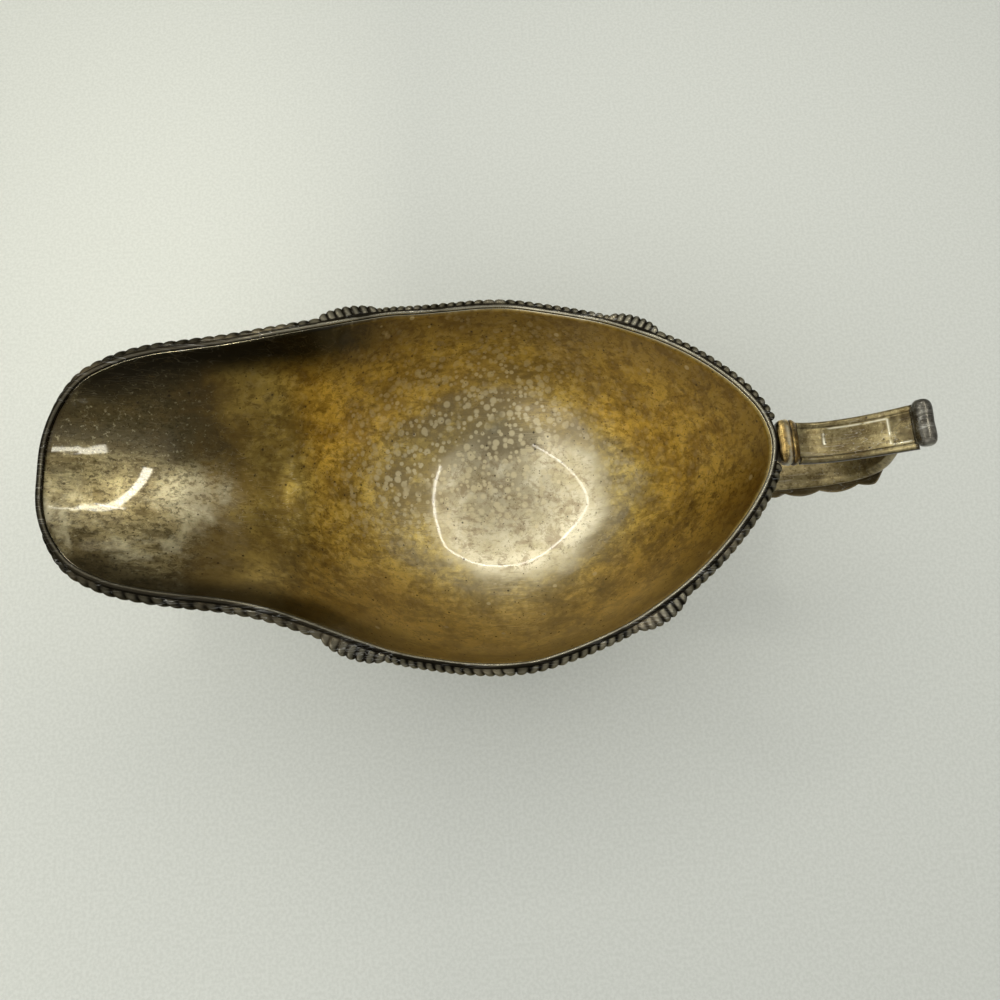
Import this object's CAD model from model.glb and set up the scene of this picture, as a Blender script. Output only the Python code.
import math
import bmesh
import bpy
import numpy as np
from mathutils import Matrix, Vector


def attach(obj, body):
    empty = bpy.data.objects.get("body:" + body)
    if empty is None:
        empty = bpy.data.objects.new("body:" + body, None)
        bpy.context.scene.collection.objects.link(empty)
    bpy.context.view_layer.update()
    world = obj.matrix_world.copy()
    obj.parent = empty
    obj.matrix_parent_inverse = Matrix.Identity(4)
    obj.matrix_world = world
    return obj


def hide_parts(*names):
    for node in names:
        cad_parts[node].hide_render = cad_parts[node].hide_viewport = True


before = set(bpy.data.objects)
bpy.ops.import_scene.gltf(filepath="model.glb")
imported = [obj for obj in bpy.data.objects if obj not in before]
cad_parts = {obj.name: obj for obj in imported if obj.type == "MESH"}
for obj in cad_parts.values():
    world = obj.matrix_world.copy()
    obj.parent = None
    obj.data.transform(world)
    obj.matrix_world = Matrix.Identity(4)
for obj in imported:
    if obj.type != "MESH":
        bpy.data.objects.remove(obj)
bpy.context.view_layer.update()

# ------------------------------------------------------------------ dimensions (mm), as in the CAD
SHIFT_X = 1.5
WALL, GAP = 1.3, 0.3
BOTTOM_Z, BOTTOM_X, BOTTOM_R = 24.0, 5.0, 76.0
BEAD_R, BORDER_W, LIP_W = 0.75, 2.9, 0.8
LOBE_PITCH, STRIP_H, STRAP_W, LEG_SPREAD = 2.75, 3.6, 10.8, 37.0
RIM = np.array([
    [-116.5, 0.0, 93.4], [-115.1, 10.0, 94.9], [-111.6, 18.4, 96.7], [-106.2, 25.9, 97.3],
    [-98.4, 30.8, 96.5], [-89.4, 33.6, 95.5], [-80.1, 35.4, 93.6], [-70.5, 36.9, 92.2],
    [-61.4, 39.1, 90.2], [-53.4, 42.1, 86.4], [-45.9, 45.4, 81.8], [-38.1, 48.8, 77.1],
    [-29.8, 51.9, 72.8], [-21.3, 53.9, 68.9], [-11.8, 55.6, 66.2], [-2.2, 56.4, 65.2],
    [7.4, 56.0, 64.8], [16.7, 53.8, 65.5], [25.5, 50.9, 67.2], [34.2, 47.3, 69.5],
    [42.3, 42.7, 72.4], [50.0, 37.4, 75.7], [57.1, 31.4, 78.9], [63.4, 24.8, 81.8],
    [69.1, 17.4, 84.3], [73.6, 9.2, 86.0], [75.4, 0.0, 86.7]])
LIP_END, FRONT_SHELL, MIDDLE, REAR_SHELL = 0.068, 0.408, 0.592, 0.769
FRONT_HALF, REAR_HALF, REAR_END = 0.0365, 0.0315, 0.974


def lerp(a, b, t):
    return a + (b - a) * t


def smooth(a, b, v):
    t = np.clip((v - a) / (b - a), 0, 1)
    return t * t * (3 - 2 * t)


def spow(c, e):
    return np.sign(c) * np.abs(c) ** e


def catmull(P, per=60):
    P = np.asarray(P, float)
    n, out, w = len(P), [], np.linspace(0, 1, per, endpoint=False)[:, None]
    for i in range(n - 1):
        p0 = P[i - 1] if i else 2 * P[0] - P[1]
        p1, p2 = P[i], P[i + 1]
        p3 = P[i + 2] if i + 2 < n else 2 * P[-1] - P[-2]
        d0, d1, d2 = (max(np.sum((b - a) ** 2) ** 0.25, 1e-6) for a, b in ((p0, p1), (p1, p2), (p2, p3)))
        t1 = ((p1 - p0) / d0 - (p2 - p0) / (d0 + d1) + (p2 - p1) / d1) * d1
        t2 = ((p2 - p1) / d1 - (p3 - p1) / (d1 + d2) + (p3 - p2) / d2) * d1
        out.append(p1 + t1 * w + (-3 * p1 + 3 * p2 - 2 * t1 - t2) * w ** 2 + (2 * p1 - 2 * p2 + t1 + t2) * w ** 3)
    out.append(P[-1:])
    return np.vstack(out)


class Curve:
    """A curve in the plane y = 0, followed by arc length."""

    def __init__(self, pts):
        self.P = catmull([[x, z] for x, z in pts], 80)
        self.L = np.r_[0, np.cumsum(np.linalg.norm(np.diff(self.P, axis=0), axis=1))]
        self.L /= self.L[-1]

    def at(self, t):
        t = np.clip(t, 0, 1)
        p = np.stack([np.interp(t, self.L, self.P[:, k]) for k in (0, 1)], -1)
        a, b = (np.stack([np.interp(np.clip(t + e, 0, 1), self.L, self.P[:, k]) for k in (0, 1)], -1) for e in (-0.003, 0.003))
        T = b - a
        T /= np.linalg.norm(T, axis=-1, keepdims=True)
        return p, T, np.stack([-T[..., 1], T[..., 0]], -1)


# ------------------------------------------------------------------ rim
flip = np.array([1, -1, 1.0])
_ext = catmull(np.vstack([RIM[[2, 1]] * flip, RIM, RIM[[-2, -3]] * flip]), 60)[120:120 + 60 * (len(RIM) - 1) + 1]
_len = np.r_[0, np.cumsum(np.linalg.norm(np.diff(_ext, axis=0), axis=1))]
HALF = _len[-1]


def rim_point(u):
    v = np.mod(np.asarray(u, float), 2)
    back = v > 1
    want = np.where(back, 2 - v, v) * HALF
    p = np.stack([np.interp(want, _len, _ext[:, k]) for k in range(3)], -1)
    p[..., 1] = np.where(back, -p[..., 1], p[..., 1])
    return p


def rim_frame(u):
    u = np.asarray(u, float)
    t = rim_point(u + 0.004) - rim_point(u - 0.004)
    n = np.stack([-t[..., 1], t[..., 0]], -1)
    n /= np.linalg.norm(n, axis=-1, keepdims=True)
    v = np.mod(u, 2)
    return rim_point(u), n, lerp(LIP_W, BORDER_W, smooth(0.015, 0.150, np.minimum(v, 2 - v)))


def at(f, d, dz):
    p, n, _ = f
    d = np.broadcast_to(d, p.shape[:-1])
    return np.stack([p[..., 0] + n[..., 0] * d, p[..., 1] + n[..., 1] * d, p[..., 2] + dz], -1)


# ------------------------------------------------------------------ body surface
def edge_pt(u):
    f = rim_frame(u)
    return at(f, -f[2] - 0.6, -0.15)


_edge = edge_pt(np.linspace(0, 1, 401))
_ang = np.maximum.accumulate(np.arctan2(np.abs(_edge[:, 1]), BOTTOM_X - _edge[:, 0]))


def edge_at_x(x):
    return np.maximum(0.5, np.interp(x, _edge[:, 0], _edge[:, 1])), np.interp(x, _edge[:, 0], _edge[:, 2])


def bowl_z(x, y, rho, rim_z):
    dx = BOTTOM_X - x
    r, phi = np.hypot(dx, y), np.abs(np.arctan2(y, dx))
    c, s, m = np.abs(np.cos(phi)), np.abs(np.sin(phi)), 2.25
    k = smooth(0.55, 0.95, phi)
    R = lerp(((c / 77) ** m + (s / 53.3) ** m) ** (-1 / m), rho, k)
    H = lerp(64, rim_z - BOTTOM_Z, k)
    q, e = R * R / (2 * BOTTOM_R * H), r / R
    return BOTTOM_Z + H * (q * e * e + (1 - q) * e ** 6)


def trough_z(x, y):
    lip = RIM[0, 0] + LIP_W + 0.6
    d = np.maximum(0, x - lip)
    w, ez = edge_at_x(np.maximum(x, lip + 8))
    run, past = np.minimum(d, 50), np.maximum(0, d - 50)
    floor = RIM[0, 2] - 0.2 - 0.42 * run - 0.0042 * run ** 2 + 0.05 * past ** 2
    e, D = np.minimum(1, np.abs(y) / w), np.maximum(2, ez - floor)
    return floor + D * (1.08 * e ** 2 - 0.33 * e ** 4 + 0.25 * e ** 8)


def smin(a, b, k):
    h = np.clip(0.5 + 0.5 * (b - a) / k, 0, 1)
    return lerp(b, a, h) - k * h * (1 - h)


def inside_point(u, s):
    u, s = np.broadcast_arrays(np.asarray(u, float), np.asarray(s, float))
    E = edge_pt(u)
    x, y = lerp(BOTTOM_X, E[..., 0], s), E[..., 1] * s
    rho = np.hypot(E[..., 0] - BOTTOM_X, E[..., 1])

    def f(X, Y):
        return smin(bowl_z(X, Y, rho, E[..., 2]), trough_z(X, Y), 14)
    return np.stack([x, y, f(x, y) + (E[..., 2] - f(E[..., 0], E[..., 1])) * s ** 9], -1)


def hull_z(x, y):
    x, y = np.broadcast_arrays(np.asarray(x, float), np.asarray(y, float))
    u = np.interp(np.arctan2(np.abs(y), BOTTOM_X - x), _ang, np.linspace(0, 1, 401))
    E = edge_pt(u)
    s = np.hypot(x - BOTTOM_X, y) / np.hypot(E[..., 0] - BOTTOM_X, E[..., 1])
    return inside_point(u, np.maximum(1e-3, s))[..., 2]


def hull_normal(x, y, e=0.4):
    n = np.stack([(hull_z(x + e, y) - hull_z(x - e, y)) / (2 * e), (hull_z(x, y + e) - hull_z(x, y - e)) / (2 * e), -np.ones(np.shape(x))], -1)
    return n / np.linalg.norm(n, axis=-1, keepdims=True)


def under_z(x, y, off):
    return hull_z(x, y) - (WALL + off) / np.abs(hull_normal(x, y)[..., 2])


# ------------------------------------------------------------------ mesh building
def make(name, verts, faces, mats, nodes, index=None, attrs=None):
    v = np.array(verts, float)
    v[:, 0] += SHIFT_X
    me = bpy.data.meshes.new(name)
    me.from_pydata((v * 0.001).tolist(), [], [tuple(int(i) for i in f) for f in faces])
    for m in mats:
        me.materials.append(m)
    if index is not None:
        me.polygons.foreach_set("material_index", np.array(index, dtype=np.int32))
    for key, val in (attrs or {}).items():
        a = me.attributes.new(key, "FLOAT", "POINT")
        a.data.foreach_set("value", np.array(val, dtype=np.float32))
    bm = bmesh.new()
    bm.from_mesh(me)
    bmesh.ops.recalc_face_normals(bm, faces=bm.faces)
    bm.to_mesh(me)
    bm.free()
    me.polygons.foreach_set("use_smooth", [True] * len(me.polygons))
    me.update()
    ob = bpy.data.objects.new(name, me)
    bpy.context.scene.collection.objects.link(ob)
    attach(ob, "root")
    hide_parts(*nodes)
    return ob


def loft(name, S, mats, nodes, closed=False, attr=None, flat_cap=False):
    """Skin over rows of closed sections, S of shape (rows, points, 3). A flat cap joins each top point to the one below it."""
    R, n = S.shape[:2]
    verts, faces = list(S.reshape(-1, 3)), []
    for i in range(R if closed else R - 1):
        a, b = i * n, ((i + 1) % R) * n
        faces += [(a + j, b + j, b + (j + 1) % n, a + (j + 1) % n) for j in range(n)]
    attr = attr if isinstance(attr, dict) else {} if attr is None else {"relief": attr}
    vals = {k: list(np.asarray(a, float).reshape(-1)) for k, a in attr.items()}
    if flat_cap:
        for r in (0, R - 1):
            faces += [(r * n + j, r * n + j + 1, r * n + n - 2 - j, r * n + n - 1 - j) for j in range(n // 2 - 1)]
    elif not closed:
        for r in (0, R - 1):
            verts.append(S[r].mean(0))
            for k, a in attr.items():
                vals[k].append(float(np.mean(np.asarray(a)[r])))
            faces += [(len(verts) - 1, r * n + j, r * n + (j + 1) % n) for j in range(n)]
    return make(name, verts, faces, mats, nodes, attrs=vals)


def plate(name, F, B, mats, nodes, attr):
    """Plate between two grids of points, with the relief of its front."""
    R, C = F.shape[:2]
    verts, off = np.vstack([F.reshape(-1, 3), B.reshape(-1, 3)]), R * C

    def k(i, j):
        return i * C + j
    faces = []
    for i in range(R - 1):
        for j in range(C - 1):
            q = (k(i, j), k(i + 1, j), k(i + 1, j + 1), k(i, j + 1))
            faces += [q, tuple(off + x for x in reversed(q))]
    edge = [(k(i, 0), k(i + 1, 0)) for i in range(R - 1)] + [(k(R - 1, j), k(R - 1, j + 1)) for j in range(C - 1)]
    edge += [(k(i, C - 1), k(i - 1, C - 1)) for i in range(R - 1, 0, -1)] + [(k(0, j), k(0, j - 1)) for j in range(C - 1, 0, -1)]
    faces += [(a, off + a, off + b, b) for a, b in edge]
    return make(name, verts, faces, mats, nodes, attrs={"relief": np.r_[np.asarray(attr).reshape(-1), np.full(off, 0.6)]})


# ------------------------------------------------------------------ materials
class Nodes:
    def __init__(self, name):
        self.mat = bpy.data.materials.new(name)
        self.mat.use_nodes = True
        self.t = self.mat.node_tree
        self.t.nodes.clear()
        self.out = self.t.nodes.new("ShaderNodeOutputMaterial")
        self.b = self.t.nodes.new("ShaderNodeBsdfPrincipled")
        self.t.links.new(self.b.outputs[0], self.out.inputs["Surface"])
        self.b.inputs["Metallic"].default_value = 1.0
        co = self.t.nodes.new("ShaderNodeTexCoord")
        self.co = co.outputs["Object"]

    def put(self, sock, v):
        if isinstance(v, bpy.types.NodeSocket):
            self.t.links.new(v, sock)
        elif hasattr(sock.default_value, "__len__") and not hasattr(v, "__len__"):
            sock.default_value = [v] * len(sock.default_value)
        elif hasattr(v, "__len__") and len(v) == 3 and len(sock.default_value) == 4:
            sock.default_value = (*v, 1.0)
        else:
            sock.default_value = v

    def math(self, op, a, b=0.0, clamp=False):
        n = self.t.nodes.new("ShaderNodeMath")
        n.operation, n.use_clamp = op, clamp
        self.put(n.inputs[0], a)
        self.put(n.inputs[1], b)
        return n.outputs[0]

    def ramp(self, v, lo, hi, a=0.0, b=1.0):
        n = self.t.nodes.new("ShaderNodeMapRange")
        n.interpolation_type = "SMOOTHSTEP"
        for k, x in zip(range(5), (v, lo, hi, a, b)):
            self.put(n.inputs[k], x)
        return n.outputs[0]

    def mix(self, f, a, b, mode="MIX"):
        n = self.t.nodes.new("ShaderNodeMix")
        n.data_type, n.blend_type = "RGBA", mode
        self.put(n.inputs[0], f)
        self.put(n.inputs[6], a)
        self.put(n.inputs[7], b)
        return n.outputs[2]

    def place(self, scale=(1, 1, 1), rot=(0, 0, 0)):
        n = self.t.nodes.new("ShaderNodeMapping")
        self.put(n.inputs[0], self.co)
        n.inputs["Rotation"].default_value = rot
        n.inputs["Scale"].default_value = scale
        return n.outputs[0]

    def noise(self, scale, detail=4.0, rough=0.55, dist=0.0, co=None):
        n = self.t.nodes.new("ShaderNodeTexNoise")
        self.put(n.inputs["Vector"], co or self.co)
        for k, x in (("Scale", scale), ("Detail", detail), ("Roughness", rough), ("Distortion", dist)):
            n.inputs[k].default_value = x
        return n.outputs[0]

    def cells(self, scale, co=None):
        n = self.t.nodes.new("ShaderNodeTexVoronoi")
        self.put(n.inputs["Vector"], co or self.co)
        n.inputs["Scale"].default_value = scale
        s = self.t.nodes.new("ShaderNodeSeparateColor")
        self.put(s.inputs[0], n.outputs["Color"])
        return n.outputs["Distance"], s.outputs[0]

    def attr(self, key):
        n = self.t.nodes.new("ShaderNodeAttribute")
        n.attribute_name = key
        return n.outputs["Fac"]

    def xyz(self):
        n = self.t.nodes.new("ShaderNodeSeparateXYZ")
        self.put(n.inputs[0], self.co)
        return n.outputs

    def bump(self, height, strength, distance, normal=None):
        n = self.t.nodes.new("ShaderNodeBump")
        n.inputs["Strength"].default_value = strength
        n.inputs["Distance"].default_value = distance
        self.put(n.inputs["Height"], height)
        if normal:
            self.put(n.inputs["Normal"], normal)
        return n.outputs[0]

    def dots(self, scale, size, share):
        """Round marks, in the given share of the cells."""
        d, c = self.cells(scale)
        return self.math("MULTIPLY", self.ramp(d, size, size * 0.6), self.math("LESS_THAN", c, share))

    def scratches(self, seed=0):
        """Fine hairlines in four directions, each broken up by a slow noise."""
        total = None
        for k, (ang, sc) in enumerate(((0.35, 620), (1.25, 820), (2.1, 700), (2.75, 900))):
            line = self.noise(sc, 1.0, 0.4, 0.15, self.place((0.022, 1.0, 0.35), (0.0, 0.0, ang + seed)))
            thin = self.ramp(self.math("ABSOLUTE", self.math("SUBTRACT", line, 0.5)), 0.010, 0.0)
            part = self.ramp(self.noise(38 + 9 * k, 2.0), 0.50, 0.62)
            one = self.math("MULTIPLY", thin, part)
            total = one if total is None else self.math("MAXIMUM", total, one)
        return total


def silver_material(name, base, tarnish, brown, rough=0.24, seed=0.0, marked=False, lines=0.45, flecks=1.0):
    """Plated silver: olive and brown tarnish in clouds, hairlines and pits. Where marked, 'soil' is dirt and 'line' is a rubbed line."""
    n = Nodes(name)
    big, fine = n.noise(62, 6.0, 0.62, 0.4), n.noise(330, 5.0, 0.6)
    cloud = n.ramp(big, 0.40, 0.62)
    col = n.mix(cloud, base, tarnish)
    col = n.mix(n.math("MULTIPLY", n.ramp(n.noise(150, 7.0, 0.68), 0.48, 0.66), 0.75 * flecks), col, brown)
    col = n.mix(n.math("MULTIPLY", n.ramp(n.noise(620, 6.0, 0.7), 0.50, 0.62), 0.66 * flecks), col, brown)
    col = n.mix(n.math("MULTIPLY", n.ramp(n.noise(1100, 4.0, 0.7), 0.56, 0.66), 0.40 * flecks), col, [min(1, 1.5 * c) for c in base])
    if marked:
        dirt = n.math("ADD", n.attr("soil"), n.math("MULTIPLY", n.math("SUBTRACT", fine, 0.5), 0.9))
        col = n.mix(n.math("MULTIPLY", n.ramp(dirt, 0.30, 0.85), 0.88), col, (0.028, 0.02, 0.011))
        rubbed = n.math("MULTIPLY", n.attr("line"), n.ramp(n.noise(210, 4.0), 0.30, 0.46))
        col = n.mix(rubbed, col, (1.0, 0.95, 0.74))
    pits = n.dots(640, 0.20, 0.16)
    col = n.mix(n.math("MULTIPLY", pits, 0.8), col, (0.035, 0.028, 0.02))
    hair = n.scratches(seed)
    col = n.mix(n.math("MULTIPLY", hair, lines), col, (0.86, 0.85, 0.80))
    n.put(n.b.inputs["Base Color"], col)
    r = n.math("ADD", n.math("MULTIPLY", cloud, 0.12), n.math("ADD", n.math("MULTIPLY", fine, 0.14), rough - 0.06))
    n.put(n.b.inputs["Roughness"], n.math("ADD", r, n.math("MULTIPLY", hair, 0.15), True))
    h = n.math("SUBTRACT", n.math("MULTIPLY", fine, 0.35), n.math("ADD", n.math("MULTIPLY", hair, 0.5), pits))
    n.put(n.b.inputs["Normal"], n.bump(h, 0.25, 0.00012))
    return n.mat


def relief_material(name, high, low, rough=0.26, start=0.42, full=1.08, front=1.0, stain=(0.20, 0.16, 0.10)):
    """Cast ornament: black in the recesses, rubbed bright on the high points ('relief' runs from 0 to 1), less so (front) along the spout."""
    n = Nodes(name)
    n.b.inputs["Specular Tint"].default_value = (0.50, 0.47, 0.40, 1.0)
    fine, mid = n.noise(520, 5.0, 0.6), n.noise(120, 5.0, 0.6)
    rel = n.math("ADD", n.attr("relief"), n.math("MULTIPLY", n.math("SUBTRACT", mid, 0.5), 0.8))
    worn = n.ramp(rel, start, full)
    if front < 1:
        worn = n.math("MULTIPLY", worn, n.ramp(n.xyz()[0], -0.075, -0.035, front, 1.0))
    col = n.mix(worn, low, high)
    col = n.mix(n.math("MULTIPLY", n.ramp(n.noise(60, 5.0), 0.5, 0.7), 0.4), col, stain)
    hair = n.scratches(0.4)
    col = n.mix(n.math("MULTIPLY", hair, 0.3), col, (0.8, 0.79, 0.75))
    n.put(n.b.inputs["Base Color"], col)
    n.put(n.b.inputs["Roughness"], n.math("ADD", n.ramp(worn, 0.0, 1.0, 0.48, rough), n.math("MULTIPLY", n.math("SUBTRACT", fine, 0.5), 0.2), True))
    n.put(n.b.inputs["Normal"], n.bump(n.math("ADD", fine, n.math("MULTIPLY", mid, 0.5)), 0.35, 0.00014))
    return n.mat


def bowl_material(name):
    """Inside of the boat: silver spout, gilt bowl in brown and yellow clouds, rubbed through to silver at the bottom."""
    n = Nodes(name)
    x, y, z = (n.xyz()[k] for k in range(3))
    s = n.attr("radial")
    slow, mid, fine = n.noise(24, 6.0, 0.62, 0.5), n.noise(85, 8.0, 0.66, 0.3), n.noise(420, 6.0, 0.62)
    brushed = n.noise(330, 5.0, 0.65, 0.3, n.place((0.16, 1.0, 0.6)))
    grain = n.noise(760, 6.0, 0.7, 0.4, n.place((0.5, 1.0, 1.0)))
    silver = n.mix(n.ramp(slow, 0.36, 0.64), (0.22, 0.185, 0.098), (0.125, 0.096, 0.043))
    silver = n.mix(n.math("MULTIPLY", n.ramp(y, -0.002, 0.012), 0.90), silver, (0.030, 0.023, 0.010))
    silver = n.mix(n.math("MULTIPLY", n.ramp(mid, 0.48, 0.64), 0.72), silver, (0.065, 0.047, 0.018))
    silver = n.mix(n.math("MULTIPLY", n.ramp(brushed, 0.47, 0.60), 0.66), silver, (0.045, 0.033, 0.014))
    silver = n.mix(n.math("MULTIPLY", n.ramp(grain, 0.50, 0.62), 0.78), silver, (0.032, 0.024, 0.010))
    silver = n.mix(n.math("MULTIPLY", n.ramp(n.noise(1250, 5.0, 0.75), 0.52, 0.62), 0.60), silver, (0.018, 0.014, 0.007))
    silver = n.mix(n.math("MULTIPLY", n.ramp(n.noise(900, 5.0, 0.7), 0.57, 0.67), 0.30), silver, (0.36, 0.32, 0.20))
    silver = n.mix(n.math("MULTIPLY", n.math("MULTIPLY", n.ramp(n.noise(56, 6.0, 0.66, 0.4), 0.48, 0.62), n.ramp(y, 0.004, -0.007)), 0.62), silver, (0.34, 0.305, 0.20))
    # a patch near its end that is rubbed brighter, ragged and speckled
    px, py = n.math("SUBTRACT", x, -0.0810), n.math("SUBTRACT", y, -0.0035)
    far = n.math("SQRT", n.math("ADD", n.math("MULTIPLY", px, px), n.math("MULTIPLY", n.math("MULTIPLY", py, py), 1.7)))
    patch = n.ramp(n.math("ADD", far, n.math("MULTIPLY", n.math("SUBTRACT", n.math("ADD", n.math("MULTIPLY", mid, 0.5), n.math("MULTIPLY", fine, 0.5)), 0.5), 0.020)), 0.0125, 0.0040)
    patch = n.math("MULTIPLY", patch, n.ramp(grain, 0.60, 0.46, 0.35, 1.0))
    silver = n.mix(n.math("MULTIPLY", patch, 0.42), silver, (0.52, 0.48, 0.34))
    gilt = n.mix(n.ramp(mid, 0.36, 0.62), (0.41, 0.27, 0.048), (0.73, 0.53, 0.125))
    gilt = n.mix(n.math("MULTIPLY", n.ramp(slow, 0.48, 0.66), 0.55), gilt, (0.27, 0.170, 0.027))
    gilt = n.mix(n.math("MULTIPLY", n.ramp(fine, 0.51, 0.63), 0.50), gilt, (0.76, 0.59, 0.22))
    gilt = n.mix(n.math("MULTIPLY", n.ramp(n.noise(270, 7.0, 0.72, 0.6), 0.50, 0.61), 0.58), gilt, (0.17, 0.105, 0.017))
    gilt = n.mix(n.math("MULTIPLY", n.ramp(brushed, 0.50, 0.62), 0.50), gilt, (0.15, 0.092, 0.015))
    gilt = n.mix(n.math("MULTIPLY", n.ramp(grain, 0.52, 0.64), 0.62), gilt, (0.12, 0.073, 0.012))
    gilt = n.mix(n.math("MULTIPLY", n.ramp(y, -0.008, -0.040), 0.40), gilt, (0.80, 0.64, 0.32))
    gilt = n.mix(n.math("MULTIPLY", n.ramp(y, 0.014, 0.046), 0.20), gilt, (0.17, 0.110, 0.014))
    # brown towards the edge
    gilt = n.mix(n.math("MULTIPLY", n.ramp(n.math("ADD", s, n.math("MULTIPLY", mid, 0.12)), 0.95, 1.08), 0.70), gilt, (0.13, 0.078, 0.014))
    # the gilding ends across the throat of the spout, over a brown band
    wav = n.math("ADD", x, n.math("MULTIPLY", n.math("SUBTRACT", mid, 0.5), 0.030))
    col = n.mix(n.ramp(wav, -0.080, -0.062), silver, gilt)
    band = n.math("MULTIPLY", n.ramp(wav, -0.086, -0.072), n.ramp(wav, -0.046, -0.066))
    col = n.mix(n.math("MULTIPLY", band, 0.72), col, (0.085, 0.052, 0.014))
    # the walls of the spout are nearly black under the edge
    wall = n.math("MULTIPLY", n.ramp(n.math("ADD", s, n.math("MULTIPLY", n.math("SUBTRACT", mid, 0.5), 0.10)), 0.86, 0.965), n.ramp(x, -0.018, -0.045))
    wall = n.math("MULTIPLY", wall, n.ramp(n.math("ABSOLUTE", y), 0.014, 0.026))
    col = n.mix(n.math("MULTIPLY", wall, n.ramp(y, -0.02, 0.02, 0.74, 0.97)), col, (0.011, 0.009, 0.005))
    # and is rubbed through at the bottom
    dx = n.math("MULTIPLY", n.math("SUBTRACT", x, 0.0075), 0.88)
    r = n.math("SQRT", n.math("ADD", n.math("MULTIPLY", dx, dx), n.math("MULTIPLY", y, y)))
    rub = n.ramp(n.math("ADD", r, n.math("MULTIPLY", n.math("SUBTRACT", slow, 0.5), 0.020)), 0.0290, 0.0210)
    pale = n.mix(n.ramp(mid, 0.38, 0.66), (0.78, 0.71, 0.51), (0.56, 0.49, 0.31))
    # a wider zone round it is only thinly gilt
    ragged = n.math("MULTIPLY", n.math("SUBTRACT", n.math("ADD", n.math("MULTIPLY", mid, 0.6), n.math("MULTIPLY", fine, 0.4)), 0.5), 0.075)
    thin = n.ramp(n.math("ADD", r, ragged), 0.046, 0.024)
    col = n.mix(n.math("MULTIPLY", thin, 0.72), col, (0.225, 0.190, 0.108))
    col = n.mix(n.math("MULTIPLY", rub, 0.88), col, pale)
    col = n.mix(n.math("MULTIPLY", n.math("MULTIPLY", n.ramp(grain, 0.54, 0.66), rub), 0.55), col, (0.26, 0.20, 0.095))
    blot = n.math("MULTIPLY", n.ramp(n.noise(210, 7.0, 0.74, 0.5), 0.49, 0.60), n.ramp(r, 0.026, 0.021))
    col = n.mix(n.math("MULTIPLY", blot, 0.72), col, (0.33, 0.255, 0.155))
    speck = n.math("MULTIPLY", n.ramp(n.noise(640, 6.0, 0.76), 0.55, 0.63), n.ramp(r, 0.026, 0.021))
    col = n.mix(n.math("MULTIPLY", speck, 0.70), col, (0.19, 0.145, 0.085))
    # with a darker stain at its far end
    gx, gy = n.math("MULTIPLY", n.math("SUBTRACT", x, 0.0055), 0.5), n.math("SUBTRACT", y, 0.0225)
    stain = n.math("SQRT", n.math("ADD", n.math("MULTIPLY", gx, gx), n.math("MULTIPLY", gy, gy)))
    stain = n.ramp(n.math("ADD", stain, n.math("MULTIPLY", n.math("SUBTRACT", mid, 0.5), 0.010)), 0.0075, 0.0035)
    col = n.mix(n.math("MULTIPLY", stain, 0.72), col, (0.15, 0.135, 0.090))
    # pale round spots where drops have stood, thick on the far wall, then dark pits and hairlines
    near = n.math("MULTIPLY", n.ramp(n.math("ADD", r, ragged), 0.058, 0.034), n.ramp(y, -0.020, 0.010, 0.18, 1.0))
    near = n.math("MULTIPLY", near, n.ramp(x, 0.034, 0.004, 0.35, 1.0))
    crowd = n.math("MULTIPLY", near, n.ramp(n.noise(95, 3.0, 0.5), 0.34, 0.46, 0.25, 1.0))
    col = n.mix(n.math("MULTIPLY", crowd, 0.55), col, (0.20, 0.140, 0.050))
    spots = n.math("MULTIPLY", n.math("MAXIMUM", n.dots(330, 0.48, 0.72), n.dots(520, 0.46, 0.65)), crowd)
    spots = n.math("MAXIMUM", spots, n.math("MULTIPLY", n.dots(230, 0.22, 0.10), n.ramp(x, -0.052, -0.036)))
    col = n.mix(n.math("MULTIPLY", spots, 0.74), col, (0.62, 0.53, 0.32))
    pits, small = n.dots(420, 0.19, 0.14), n.dots(900, 0.24, 0.12)
    dark = n.math("MAXIMUM", pits, small)
    col = n.mix(n.math("MULTIPLY", dark, 0.75), col, (0.05, 0.038, 0.022))
    hair = n.scratches()
    col = n.mix(n.math("MULTIPLY", hair, n.ramp(s, 0.45, 0.80, 0.30, 0.05)), col, (0.78, 0.70, 0.48))
    col = n.mix(n.math("MULTIPLY", n.scratches(0.9), 0.38), col, (0.07, 0.05, 0.02))
    n.put(n.b.inputs["Base Color"], col)
    rr = n.math("ADD", n.ramp(slow, 0.35, 0.70, 0.36, 0.48), n.math("MULTIPLY", n.math("SUBTRACT", fine, 0.5), 0.20))
    rr = n.math("SUBTRACT", rr, n.math("MULTIPLY", rub, 0.02))
    side = n.math("MULTIPLY", n.ramp(n.math("ABSOLUTE", y), 0.0085, 0.0165), n.ramp(x, -0.050, -0.066))
    rr = n.math("ADD", rr, n.math("MULTIPLY", side, 0.26))
    rr = n.math("ADD", rr, n.math("ADD", n.math("MULTIPLY", spots, 0.06), n.math("MULTIPLY", dark, 0.3)), True)
    n.put(n.b.inputs["Roughness"], rr)
    # the polish that is left on it: a thin clear gloss
    dull = n.math("MULTIPLY", n.ramp(x, -0.089, -0.083), n.ramp(x, -0.040, -0.052))
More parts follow.
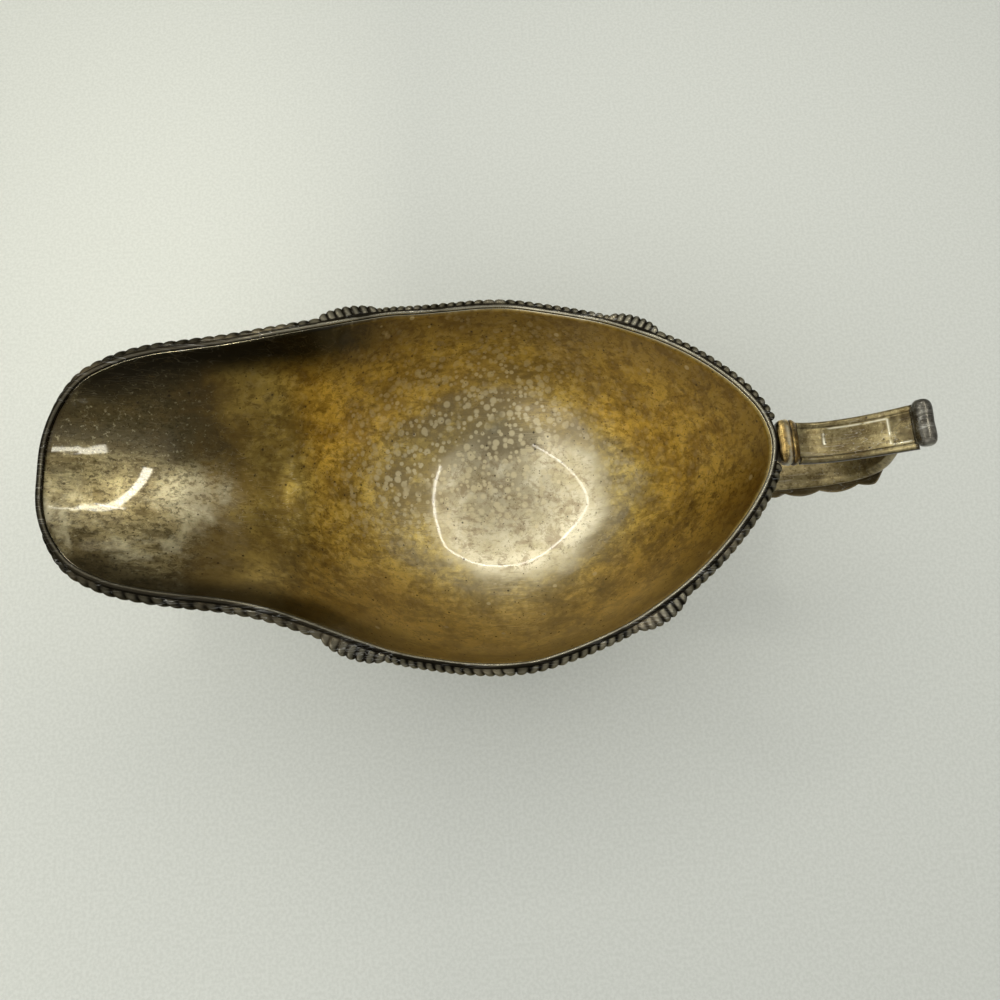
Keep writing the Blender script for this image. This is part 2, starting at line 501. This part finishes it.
    # worn off in the middle of the lip and on the near side behind it
    lip = n.math("MULTIPLY", n.math("MULTIPLY", n.ramp(y, -0.0074, -0.0066), n.ramp(y, 0.0061, 0.0057)), n.ramp(x, -0.1015, -0.1030))
    slant = n.math("SUBTRACT", y, n.math("MULTIPLY", n.math("ADD", x, 0.0955), 0.415))
    nearby = n.math("MULTIPLY", n.ramp(x, -0.0968, -0.0955), n.ramp(slant, -0.0070, -0.0078))
    dull = n.math("MAXIMUM", dull, n.math("MAXIMUM", lip, n.math("MULTIPLY", nearby, n.ramp(x, -0.040, -0.052))))
    n.put(n.b.inputs["Coat Weight"], n.ramp(n.math("MAXIMUM", side, dull), 0.0, 1.0, 0.58, 0.02))
    n.b.inputs["Coat Roughness"].default_value = 0.05
    n.b.inputs["Specular Tint"].default_value = (0.72, 0.68, 0.58, 1.0)
    h = n.math("SUBTRACT", n.math("MULTIPLY", fine, 0.3), n.math("ADD", dark, n.math("MULTIPLY", hair, 0.4)))
    n.put(n.b.inputs["Normal"], n.bump(mid, 0.10, 0.0005, n.bump(h, 0.18, 0.00007)))
    return n.mat


M_IN = bowl_material("gilt_bowl")
M_OUT = silver_material("tarnished_silver", (0.50, 0.455, 0.33), (0.36, 0.315, 0.20), (0.17, 0.135, 0.07), 0.17, 0.0, False, 0.40, 0.32)
M_EDGE = relief_material("worn_edge", (0.34, 0.31, 0.23), (0.018, 0.015, 0.010), 0.26, 0.66, 1.16, 0.12, (0.06, 0.048, 0.030))
M_LEG = silver_material("leg_silver", (0.42, 0.37, 0.24), (0.25, 0.21, 0.115), (0.11, 0.08, 0.038), 0.24, 1.1, False, 0.30, 0.60)
M_STRAP = silver_material("strap_silver", (0.33, 0.27, 0.135), (0.16, 0.125, 0.058), (0.075, 0.048, 0.017), 0.27, 1.1, True, 0.20)
M_SCROLL = silver_material("scroll_silver", (0.36, 0.29, 0.15), (0.20, 0.155, 0.07), (0.075, 0.05, 0.018), 0.30, 0.7, False, 0.15)
M_CLASP = silver_material("clasp_gilt", (0.74, 0.52, 0.20), (0.20, 0.12, 0.034), (0.040, 0.026, 0.011), 0.24, 0.2, True, 0.1)
M_ROLL = silver_material("roll_silver", (0.24, 0.225, 0.185), (0.085, 0.078, 0.062), (0.030, 0.024, 0.017), 0.26, 0.5, False, 0.2)
M_LOBE = relief_material("lobed_border", (0.21, 0.185, 0.125), (0.007, 0.006, 0.004), 0.27, 0.46, 1.12, 0.20)
M_SHELL = relief_material("cast_shell", (0.16, 0.145, 0.105), (0.012, 0.010, 0.007), 0.29)
M_LEAF = relief_material("cast_leaf", (0.44, 0.36, 0.20), (0.085, 0.062, 0.028), 0.30)

# ------------------------------------------------------------------ body
NU = 360
ss = np.r_[np.linspace(0.03, 0.72, 32), np.linspace(0.72, 1.0, 34)[1:]]
uu = 2 * np.arange(NU) / NU
Ug, Sg = np.meshgrid(uu, ss)
inner = inside_point(Ug, Sg)
e = 0.004
du = inside_point(Ug + e, Sg) - inside_point(Ug - e, Sg)
ds = inside_point(Ug, np.minimum(1, Sg + e)) - inside_point(Ug, Sg - e)
nrm = np.cross(du, ds)
nrm /= np.linalg.norm(nrm, axis=-1, keepdims=True)
nrm *= np.where(nrm[..., 2:] > 0, -1, 1)
nrm[..., 2] *= 1 - smooth(0.955, 1.0, Sg)
nrm /= np.linalg.norm(nrm, axis=-1, keepdims=True)
outer = inner + nrm * WALL
RS = len(ss)
verts = np.vstack([[[BOTTOM_X, 0, BOTTOM_Z]], inner.reshape(-1, 3), [[BOTTOM_X, 0, BOTTOM_Z - WALL]], outer.reshape(-1, 3)])
OC = 1 + RS * NU
faces, idx = [], []
for base, pole, m in ((1, 0, 0), (OC + 1, OC, 1)):
    for i in range(NU):
        j = (i + 1) % NU
        faces.append((pole, base + i, base + j))
        idx.append(m)
        for k in range(RS - 1):
            a, b = base + k * NU, base + (k + 1) * NU
            faces.append((a + i, b + i, b + j, a + j))
            idx.append(m)
for i in range(NU):
    j, a, b = (i + 1) % NU, 1 + (RS - 1) * NU, OC + 1 + (RS - 1) * NU
    faces.append((a + i, a + j, b + j, b + i))
    idx.append(1)
rad = np.r_[0, Sg.reshape(-1), 0, Sg.reshape(-1)]
make("boat_body", verts, faces, [M_IN, M_OUT], ["body_shell"], idx, {"radial": rad})

# ------------------------------------------------------------------ bead
U = 2 * np.arange(720) / 720
f = rim_frame(U)
A = np.arange(12) / 12 * 2 * math.pi
sec = np.stack([at(f, -f[2] + 0.05 + BEAD_R * math.cos(a), -0.20 + BEAD_R * (1 + math.sin(a))) for a in A], 1)
rub_in = np.array([0.15 + 0.95 * smooth(0.50, 1.00, math.cos(a - math.radians(128))) for a in A])
loft("rim_edge", sec, [M_EDGE], ["rim_bead"], closed=True, attr=np.broadcast_to(rub_in, (720, 12)))


# ------------------------------------------------------------------ gadroon strips
def strip_in(f):
    # soldered on: it sinks a little into the wall
    return -f[2] - 0.6 + WALL - 0.1


def gadroon(name, node, u0, u1, lean, side, pitch=LOBE_PITCH, grade=0.0):
    lobes = max(2, round((u1 - u0) * HALF / pitch))
    t = np.linspace(0, 1, lobes * 14 + 1)
    K, J = 18, 5
    rows, rel = [], []
    ends = smooth(0, 1.2 / lobes, t) * smooth(1, 1 - 1.2 / lobes, t)
    v = lerp(u0, u1, t + grade * t * (1 - t))
    f0 = rim_frame(v if side > 0 else 2 - v)
    for c in np.linspace(0, 1, K):
        # the same lobe, shifted along the border as it goes down, so that it slants
        ph = (t + lean * 1.1 * (1 - 2 * c) / HALF / (u1 - u0) * ends) * lobes
        w = f0[2]
        k = (w - 1) / (BORDER_W - 1)
        fr = ph - np.floor(ph)
        lob = np.sqrt(np.clip(1 - (2 * fr - 1) ** 2, 0, 1))
        q, h = strip_in(f0), STRIP_H * lerp(0.3, 1, k)
        d = (lob - 1) * (1.05 * k * k + 0.1 * k)
        phi = lerp(math.pi / 2, -math.pi / 2, c)
        top, bot = 0.35 + 0.2 * k, -h + 0.4 * k
        rr = lerp(q, d, math.cos(phi) ** 0.62 if 0 < c < 1 else 0.0)
        zz = (top + bot) / 2 + (top - bot) / 2 * math.sin(phi)
        rows.append(at(f0, rr, zz))
        rel.append(np.clip(lob * (0.35 + 0.65 * math.cos(phi * 0.8 - 0.35)), 0, 1))
    for c in np.linspace(1, 0, J + 2)[1:-1]:
        rows.append(at(f0, strip_in(f0), lerp(rows[0][:, 2], rows[K - 1][:, 2], c) - f0[0][:, 2]))
        rel.append(np.zeros(len(t)))
    loft(name, np.stack(rows, 1), [M_LOBE], [node], attr=np.stack(rel, 1))


g = -0.06 / 250
MEET = -0.0012
SPOUT_PITCH, GRADE = 3.2, 0.1
for side, tag in ((1, "right"), (-1, "left")):
    gadroon("border_spout_" + tag, "gadroon_spout_" + tag, LIP_END, FRONT_SHELL - FRONT_HALF - MEET, 1, side, SPOUT_PITCH)
    gadroon("border_side_front_" + tag, "gadroon_side_front_" + tag, FRONT_SHELL + FRONT_HALF + MEET, MIDDLE - g, 1, side, LOBE_PITCH, -GRADE)
    gadroon("border_side_rear_" + tag, "gadroon_side_rear_" + tag, MIDDLE + g, REAR_SHELL - REAR_HALF - MEET, -1, side, LOBE_PITCH, GRADE)
    gadroon("border_rear_" + tag, "gadroon_rear_" + tag, REAR_SHELL + REAR_HALF + MEET, REAR_END, -1, side)


# ------------------------------------------------------------------ cast shells
def rim_shell(name, node, uc, half, side):
    t = np.linspace(0, 1, 141)
    a = 2 * t - 1
    f0 = rim_frame(uc + a * half if side > 0 else 2 - (uc + a * half))
    q = strip_in(f0)
    env, lob = np.sqrt(np.maximum(0, 1 - a * a * 0.93)), np.abs(np.sin(math.pi * 7 * t)) ** 0.75
    out, drop = -1.1 + 3.2 * env * (0.80 + 0.20 * lob), 2.4 + 4.2 * env * (0.86 + 0.14 * lob)
    fan = 0.42 * (1 - lob) * env
    ctrl = [(q, 0.5 + 0 * t), (lerp(q, out, 0.3), 0.85 - 0.5 * fan), (lerp(q, out, 0.6), 0.95 - fan), (lerp(q, out, 0.88) - 0.3 * fan, 0.5 - fan),
            (out, -0.1 * drop), (out * 0.92 - 0.1, -0.3 * drop), (out * 0.75 - 0.2, -0.55 * drop), (lerp(out * 0.75 - 0.2, q + 0.5, 0.55), -0.8 * drop), (q + 0.5, -drop), (q, -drop + 0.3)]
    D, Z = np.stack([c[0] for c in ctrl], 1), np.stack([np.broadcast_to(c[1], t.shape) for c in ctrl], 1)
    pos = np.linspace(0, len(ctrl) - 1, 30)
    rows, rel = [], []
    for x in pos:
        i = min(int(x), len(ctrl) - 2)
        w = x - i
        d, z = lerp(D[:, i], D[:, i + 1], w), lerp(Z[:, i], Z[:, i + 1], w)
        rows.append(at(f0, d, z))
        rel.append(lob * (1.0 if 0.5 < x < 8 else 0.2))
    for c in (0.3, 0.7):
        rows.append(at(f0, q, lerp(Z[:, -1], Z[:, 0], c)))
        rel.append(0 * t)
    loft(name, np.stack(rows, 1), [M_SHELL], [node], attr=np.stack(rel, 1))


for side, tag in ((1, "right"), (-1, "left")):
    rim_shell("shell_front_" + tag, "rim_shell_front_" + tag, FRONT_SHELL, FRONT_HALF, side)
    rim_shell("shell_rear_" + tag, "rim_shell_rear_" + tag, REAR_SHELL, REAR_HALF, side)

# ------------------------------------------------------------------ handle
strap = Curve([[80.05, 83.3], [83.3, 82.8], [87.5, 83.0], [92.5, 84.4], [97.5, 86.7], [102.2, 89.6], [106.6, 92.7]])
t = np.linspace(0, 1, 110)
p, T, N = strap.at(t)
w = STRAP_W / 2 * (1 + 0.10 * t * t + 0.06 * (1 - t))
rows, lines, soils = [], [], []
top = np.linspace(-1, 1, 61)
prof_y = np.array([-1, -0.96, -0.85, -0.74, -0.68, 0, 0.68, 0.74, 0.85, 0.96, 1])
prof_n = np.array([-0.1, 0.62, 1.0, 0.72, 0.35, -0.15, 0.35, 0.72, 1.0, 0.62, -0.1])
for b in top:
    n0 = np.interp(b, prof_y, prof_n)
    # fine raised lines: the far edge of the dish, a crease at each end of it, the near edge of the panel beyond
    edge = np.exp(-((np.abs(b) - 0.60) / 0.03) ** 2)
    line = edge * (0.55 * smooth(0.24, 0.27, t) * smooth(0.80, 0.78, t) if b > 0 else 0.5 * smooth(0.79, 0.82, t) * smooth(0.97, 0.93, t))
    cross = np.exp(-((t - 0.25) / 0.009) ** 2) * (-0.15 < b < 0.62) + 0.6 * np.exp(-((t - 0.79) / 0.008) ** 2) * (abs(b) < 0.60)
    n = n0 + 0.22 * np.maximum(line, cross)
    rows.append(np.stack([p[:, 0] + N[:, 0] * n, b * w, p[:, 1] + N[:, 1] * n], -1))
    lines.append(np.maximum(line, cross))
    soils.append(np.maximum.reduce([0.95 * smooth(0.93, 1.0, abs(b)) + 0 * t, 0.62 * np.exp(-((abs(b) - 0.70) / 0.05) ** 2) + 0 * t,
                                    0.9 * smooth(0.95, 0.99, t), 0.66 * smooth(0.78, 0.82, t) * (abs(b) < 0.64), 0.42 * smooth(0.24, 0.0, t) + 0 * b]))
for b in top[::-1]:
    n = -0.9 - 0.7 * (1 - b * b)
    rows.append(np.stack([p[:, 0] + N[:, 0] * n, b * w, p[:, 1] + N[:, 1] * n], -1))
    lines.append(0 * t)
    soils.append(0.35 + 0.45 * smooth(0.9, 1, abs(b)) + 0 * t)
loft("strap", np.stack(rows, 1), [M_STRAP], ["handle_strap"], attr={"line": np.stack(lines, 1), "soil": np.stack(soils, 1)}, flat_cap=True)

prof = catmull([[0.02, 6.0], [1.4, 5.85], [2.05, 5.2], [2.35, 4.2], [2.4, 2.6], [2.35, 1.2], [2.3, 0]], 8)
prof = np.vstack([prof * [1, -1], prof[::-1][1:]])
th = np.arange(48) / 48 * 2 * math.pi
sec = np.stack([np.stack([107.1 + r * np.cos(th), np.full(48, y), 95.65 + r * np.sin(th)], -1) for r, y in prof])
loft("roll", sec, [M_ROLL], ["handle_roll"])

# the roll is drawn out of the end of the strap: a low neck joins them
th = np.arange(32) / 32 * 2 * math.pi
sec = np.stack([np.stack([106.5 + k * (1.15 * np.cos(th) * 0.817 - 0.8 * np.sin(th) * 0.577), np.full(32, y),
                          93.35 + k * (1.15 * np.cos(th) * 0.577 + 0.8 * np.sin(th) * 0.817)], -1)
                for y, k in [(-4.9, 0.2), (-4.7, 0.75)] + [(y, 1.0) for y in np.linspace(-4.3, 4.3, 9)] + [(4.7, 0.75), (4.9, 0.2)]])
loft("roll_neck", sec, [M_ROLL], ["handle_roll"])

cl = catmull([[73.65, 4.4, 87.5, 82.6], [74.5, 5.6, 88.0, 81.9], [76.4, 6.1, 87.6, 81.3], [78.4, 6.1, 86.6, 80.9], [79.5, 5.6, 85.6, 81.1]], 16)
th = np.arange(48) / 48 * 2 * math.pi
# a groove across it sets a narrow moulding off from the block
cut = np.exp(-((cl[:, 0] - 77.4) / 0.35) ** 2)
sec = np.stack([np.stack([np.full(48, x), (w_ - 0.5 * c) * spow(np.cos(th), 0.6), (zt + zb) / 2 + ((zt - zb) / 2 - 0.45 * c) * spow(np.sin(th), 0.6)], -1) for (x, w_, zt, zb), c in zip(cl, cut)])
soil = np.maximum(0.95 * cut[:, None], 0.7 * (smooth(78.6, 79.5, cl[:, 0]) + smooth(74.6, 73.7, cl[:, 0]))[:, None]) + 0.35 * smooth(0.8, 1, np.abs(np.cos(th)))[None, :]
loft("clasp", sec, [M_CLASP], ["handle_clasp"], attr={"soil": soil, "line": 0.34 * np.exp(-((cl[:, 0] - 76.2) / 0.60) ** 2)[:, None] + 0 * soil})

scroll = Curve([[103.6, 87.95], [105.9, 83.2], [107.8, 77.0], [109.2, 69.5], [108.8, 61.8], [105.4, 55.0], [99.5, 51.0], [92.5, 49.2], [85.0, 48.3], [77.5, 47.6], [70.0, 46.9], [61.2, 46.2]])


def scroll_half(t):
    return lerp(3.6, 5.3, smooth(0, 0.35, t)) * lerp(1, 0.8, smooth(0.7, 1, t))


def scroll_thick(t):
    return lerp(1.5, 2.2, smooth(0, 0.5, t))


t = np.linspace(0, 1, 150)
p, T, N = scroll.at(t)
rows, rel = [], []
for a in np.arange(48) / 48 * 2 * math.pi:
    cy, cn = spow(math.cos(a), 0.75), math.sin(a)
    rib = -0.20 * (1 - abs(math.cos(3.0 * math.pi * cy))) * abs(cn)
    h = scroll_thick(t) * cn + rib * math.copysign(1, cn)
    rows.append(np.stack([p[:, 0] + N[:, 0] * h, scroll_half(t) * cy, p[:, 1] + N[:, 1] * h], -1))
    rel.append(np.full(len(t), 1 + rib * 2.4))
loft("scroll", np.stack(rows, 1), [M_SCROLL], ["handle_scroll"], attr=np.stack(rel, 1))

q = np.linspace(0, 1, 120)[:, None]
e_ = np.linspace(-1, 1, 33)[None, :]
tt = lerp(0.30, 0.83, q)
p, T, N = scroll.at(tt[:, 0])
lob = np.abs(np.sin(math.pi * 4.5 * q))
taper = 1 - 0.72 * smooth(0.72, 1, q) - 0.45 * (1 - smooth(0, 0.12, q))
wl = (scroll_half(tt) + 1.9) * (0.82 + 0.18 * lob ** 0.8) * taper
s_ = scroll_thick(tt) + GAP + 0.35 - 1.7 * e_ ** 4
vein = 0.22 * np.abs(np.cos(math.pi * (3.0 * np.abs(e_) - 4.5 * q)))
back = scroll_thick(tt) + GAP + 0.25 + 0 * e_
m_ = back + 0.4 + (0.6 + 0.55 * (1 - np.abs(e_)) + 0.35 * lob - vein) * (1 - e_ ** 4)
front = np.stack([p[:, :1] + N[:, :1] * m_, wl * e_, p[:, 1:] + N[:, 1:] * m_], -1)
under = np.stack([p[:, :1] + N[:, :1] * back, wl * e_, p[:, 1:] + N[:, 1:] * back], -1)
plate("leaf", front, under, [M_LEAF], ["handle_leaf"], 1 - vein / 0.22)

ga, gb = np.meshgrid(np.linspace(-1, 1, 31), np.linspace(-1, 1, 31), indexing="ij")
mm = np.sqrt(1 - 0.42 * np.minimum(ga ** 2, gb ** 2))
by, bz = 6.0 * ga * mm, 46.4 + 6.2 * gb * mm
lo, hi = np.full(by.shape, 40.0), np.full(by.shape, 74.0)
for _ in range(40):
    mid_ = (lo + hi) / 2
    low = hull_z(mid_, by) < bz
    lo, hi = np.where(low, mid_, lo), np.where(low, hi, mid_)
bn = hull_normal(lo, by)
bo = np.stack([lo, by, hull_z(lo, by)], -1) + bn * (WALL + GAP)
dome = 1.0 + 1.3 * (1 - np.maximum(ga ** 2, gb ** 2))
plate("boss", bo + bn * dome[..., None], bo, [M_LEAF], ["handle_boss"], (dome - 1) / 1.3)

# ------------------------------------------------------------------ legs and knees
for tag, deg in (("front_right", 132), ("front_left", -132), ("rear", 0)):
    ca, sa = math.cos(math.radians(deg)), math.sin(math.radians(deg))

    def P(r, s):
        return BOTTOM_X + ca * r - sa * s, sa * r + ca * s
    spread = LEG_SPREAD - (3.6 if tag == "rear" else 0)
    sx, sy = P(spread - 2.4, 0)
    zt = float(under_z(sx, sy, GAP + 1.4))
    line = catmull([[0.9, zt, 3.9, 3.3], [2.4, zt - 2.4, 4.9, 4.7], [3.6, lerp(zt, 9.0, 0.38), 4.3, 4.4], [2.0, lerp(zt, 9.0, 0.7), 3.1, 3.3], [0.8, 9.0, 2.7, 2.8],
                    [1.6, 5.8, 3.3, 3.2], [3.4, 3.0, 4.9, 4.6], [4.4, 1.2, 5.9, 5.4], [4.4, 0.0, 5.6, 5.1]], 8)
    th = np.arange(36) / 36 * 2 * math.pi
    sec = []
    for i, (r, z, hw, hr) in enumerate(line):
        X, Y = P(spread + r + hr * np.cos(th), hw * np.sin(th))
        Z = np.full(36, max(0.0, z))
        if i < 8:
            Z = lerp(under_z(X, Y, GAP + 1.4), Z, smooth(0, 1, i / 8))
        sec.append(np.stack([X, Y, Z], -1))
    loft("cast_leg_" + tag, np.stack(sec), [M_LEG], ["leg_" + tag])
    tg, bg = np.meshgrid(np.linspace(-1, 1, 61), np.linspace(0, 1, 31), indexing="ij")
    lobk = np.abs(np.cos(math.pi * 2.5 * tg))
    wk = lerp(3.2, 10.5, smooth(0, 0.9, bg))
    X, Y = P(spread - 5.5 + 15.0 * bg * (1 - 0.20 * tg ** 2 * bg) * (1 + 0.04 * lobk * bg), tg * wk)
    nn = hull_normal(X, Y)
    oo = np.stack([X, Y, hull_z(X, Y)], -1) + nn * (WALL + GAP)
    lift = 0.7 + 0.5 * lobk ** 0.8 * (0.3 + 0.7 * bg) * (1 - 0.6 * smooth(0.85, 1, bg))
    plate("knee_" + tag, oo + nn * lift[..., None], oo, [M_SHELL], ["knee_shell_" + tag], lobk)

# ------------------------------------------------------------------ floor
n = Nodes("floor_pale")
n.b.inputs["Metallic"].default_value = 0.0
n.put(n.b.inputs["Base Color"], n.mix(n.ramp(n.noise(900, 4.0), 0.35, 0.65), (0.59, 0.598, 0.55), (0.65, 0.658, 0.61)))
n.b.inputs["Roughness"].default_value = 0.75
n.put(n.b.inputs["Normal"], n.bump(n.noise(1400, 3.0), 0.12, 0.0002))
me = bpy.data.meshes.new("floor")
me.from_pydata([(-3, -3, 0), (3, -3, 0), (3, 3, 0), (-3, 3, 0)], [], [(0, 1, 2, 3)])
me.materials.append(n.mat)
floor = bpy.data.objects.new("floor", me)
bpy.context.scene.collection.objects.link(floor)


# ------------------------------------------------------------------ light: a ring of narrow strips overhead, and a soft dome
def area(name, x, y, z, sx, sy, radiance, rot=(0, 0, 0), color=(1, 1, 1)):
    L = bpy.data.lights.new(name, "AREA")
    L.shape, L.size, L.size_y = "RECTANGLE", sx, sy
    L.energy, L.color = radiance * math.pi * sx * sy, color
    o = bpy.data.objects.new(name, L)
    o.location, o.rotation_euler = (x, y, z), rot
    o.visible_camera = False
    bpy.context.scene.collection.objects.link(o)


RING = catmull([[0.140, -0.018], [0.150, 0.020], [0.157, 0.060], [0.155, 0.110], [0.150, 0.165], [0.111, 0.196], [0.049, 0.201], [-0.022, 0.184],
                [-0.059, 0.152], [-0.096, 0.115], [-0.121, 0.078], [-0.111, 0.034], [-0.091, -0.003], [-0.066, -0.028], [-0.030, -0.056]], 2)
for k, (a, b) in enumerate(zip(RING[:-1], RING[1:])):
    run = math.hypot(b[0] - a[0], b[1] - a[1])
    area("strip_%d" % k, (a[0] + b[0]) / 2, (a[1] + b[1]) / 2, 0.277, run + 0.0020, 0.0052, 29 * lerp(1.0, 0.58, float(smooth(14, 20, k))), (0, 0, math.atan2(b[1] - a[1], b[0] - a[0])), (1, 0.98, 0.90))


def facing(name, a, b, width, radiance, color=(1, 0.97, 0.80)):
    """A strip from a to b in a plane across the boat, that shines towards the spout only."""
    a, b = Vector(a), Vector(b)
    along, out = (b - a).normalized(), Vector((1, 0, 0))
    L = bpy.data.lights.new(name, "AREA")
    L.shape, L.size, L.size_y = "RECTANGLE", (b - a).length, width
    L.energy, L.color = radiance * math.pi * L.size * width, color
    o = bpy.data.objects.new(name, L)
    o.matrix_world = Matrix.Translation((a + b) / 2) @ Matrix((along, out.cross(along), out)).transposed().to_4x4()
    o.visible_camera = False
    bpy.context.scene.collection.objects.link(o)


facing("lip_strip_far_a", (-0.025, -0.089, 0.440), (-0.025, -0.080, 0.325), 0.0130, 24)
facing("lip_strip_far_b", (-0.025, -0.080, 0.325), (-0.025, -0.034, 0.217), 0.0110, 24)
EDGE = catmull([[0.450, 0.575], [0.428, 0.480], [0.350, 0.380], [0.235, 0.285], [0.149, 0.222], [0.108, 0.202]], 2)
for k, (a, b) in enumerate(zip(EDGE[:-1], EDGE[1:])):
    facing("lip_strip_edge_%d" % k, (-0.025, *a), (-0.025, *b), 0.0120, 24)
facing("lip_strip_near", (-0.025, 0.108, 0.202), (-0.025, 0.002, 0.175), 0.0105, 36)
area("soft_front", -0.26, -0.34, 0.46, 0.34, 0.34, 1.3, (math.radians(38), math.radians(-28), 0))

# a soft dome: dimmer overhead, near the ground and on the right
world = bpy.data.worlds.new("studio")
bpy.context.scene.world = world
world.use_nodes = True
wt = world.node_tree
bg = wt.nodes["Background"]
bg.inputs[0].default_value = (0.98, 1.0, 0.975, 1)
wc, ws = wt.nodes.new("ShaderNodeTexCoord"), wt.nodes.new("ShaderNodeSeparateXYZ")
wt.links.new(wc.outputs["Generated"], ws.inputs[0])
level = None
for axis, lo, hi, a, b in (("Z", 0.10, 0.50, 0.60, 1.0), ("Z", 0.97, 0.72, 0.80, 1.0), ("X", -0.5, 0.6, 0.97, 0.56), ("Y", 0.0, 0.7, 1.0, 1.22)):
    wr = wt.nodes.new("ShaderNodeMapRange")
    wr.interpolation_type = "SMOOTHSTEP"
    wt.links.new(ws.outputs[axis], wr.inputs[0])
    for k, x in zip((1, 2, 3, 4), (lo, hi, a, b)):
        wr.inputs[k].default_value = x
    if level is None:
        level = wr.outputs[0]
    else:
        wm = wt.nodes.new("ShaderNodeMath")
        wm.operation = "MULTIPLY"
        wt.links.new(level, wm.inputs[0])
        wt.links.new(wr.outputs[0], wm.inputs[1])
        level = wm.outputs[0]
wt.links.new(level, bg.inputs[1])

# ------------------------------------------------------------------ camera
cam = bpy.data.cameras.new("camera")
cam.sensor_width, cam.lens, cam.clip_start = 36.0, 751.0 * 36.0 / 1000.0, 0.01
co = bpy.data.objects.new("camera", cam)
co.matrix_world = Matrix.Translation((0.0015, -0.052855, 0.276615)) @ (Matrix.Rotation(0.213918895, 4, "X") @ Matrix.Rotation(0.000128, 4, "Y") @ Matrix.Rotation(-0.0572901762, 4, "Z"))
bpy.context.scene.collection.objects.link(co)
bpy.context.scene.camera = co
bpy.context.scene.view_settings.view_transform = "Standard"
